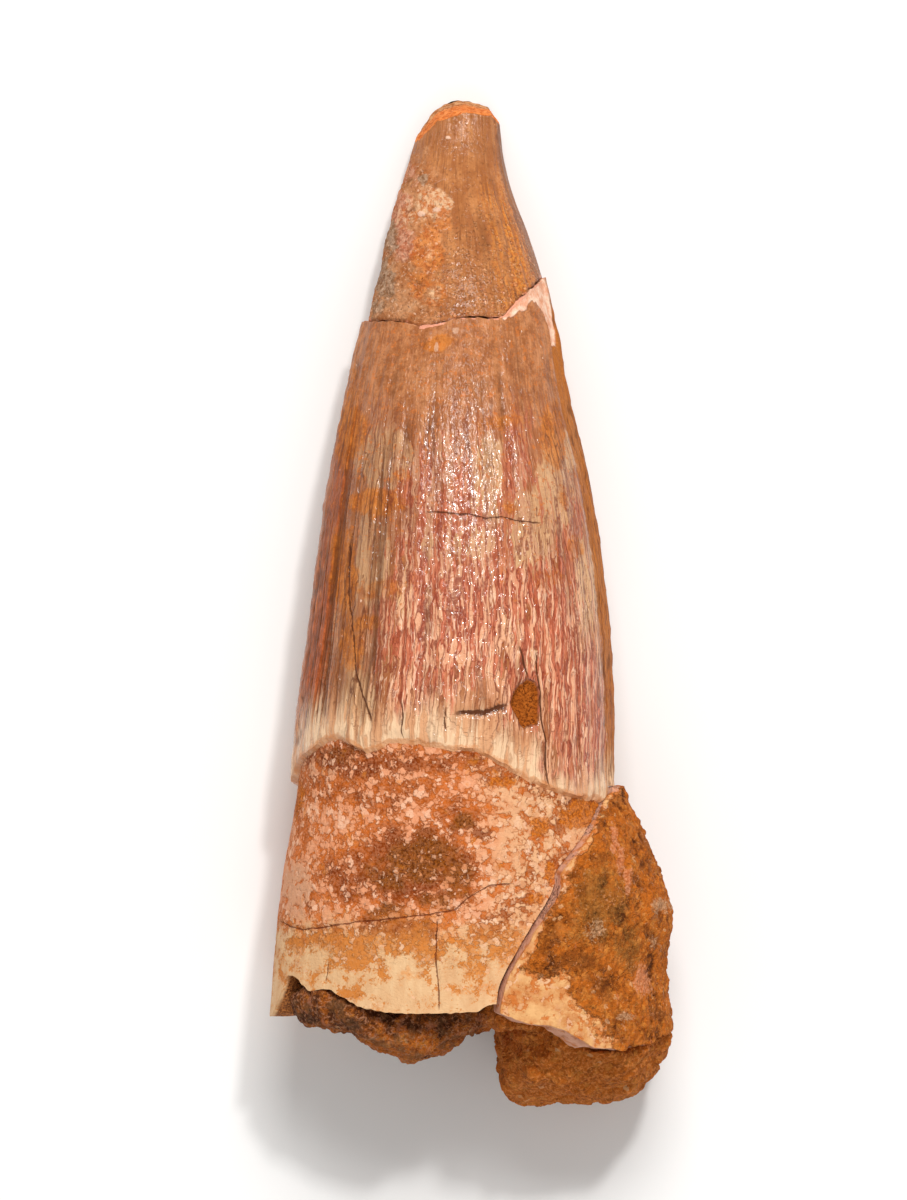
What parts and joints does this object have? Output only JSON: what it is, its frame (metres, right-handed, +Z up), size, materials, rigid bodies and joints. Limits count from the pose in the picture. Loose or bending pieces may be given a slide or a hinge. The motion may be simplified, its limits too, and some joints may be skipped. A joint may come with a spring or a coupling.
{
  "type": "spinosaurus tooth fossil",
  "caption": "Conical fossil tooth with a glued-on tip, fluted crown, broken root with a pushed-out splinter, and sandstone in and beside the hollow root, lying on its side.",
  "frame": {"origin": "on the ground, under the middle of the box round the tooth", "axes": "+Z up, +Y along the tooth towards its tip, +X to the side with the splinter"},
  "size_m": [0.0319, 0.08, 0.0226],
  "materials": {
    "weathered_enamel": "smooth worn brown enamel with a rough sandy left side and an orange chipped end",
    "enamel_and_dentine": "satin enamel streaked cream and brick red along its length, above a rough root crusted with orange sand",
    "crusted_dentine": "coarse orange-brown sand crust over cream dentine",
    "sandstone": "matt, coarse, dark rust-brown sandstone"
  },
  "bodies": {
    "root": {"crown_tip": "weathered_enamel", "tooth_body": "enamel_and_dentine", "root_fragment": "crusted_dentine", "sandstone_matrix": "sandstone"}
  },
  "joints": []
}
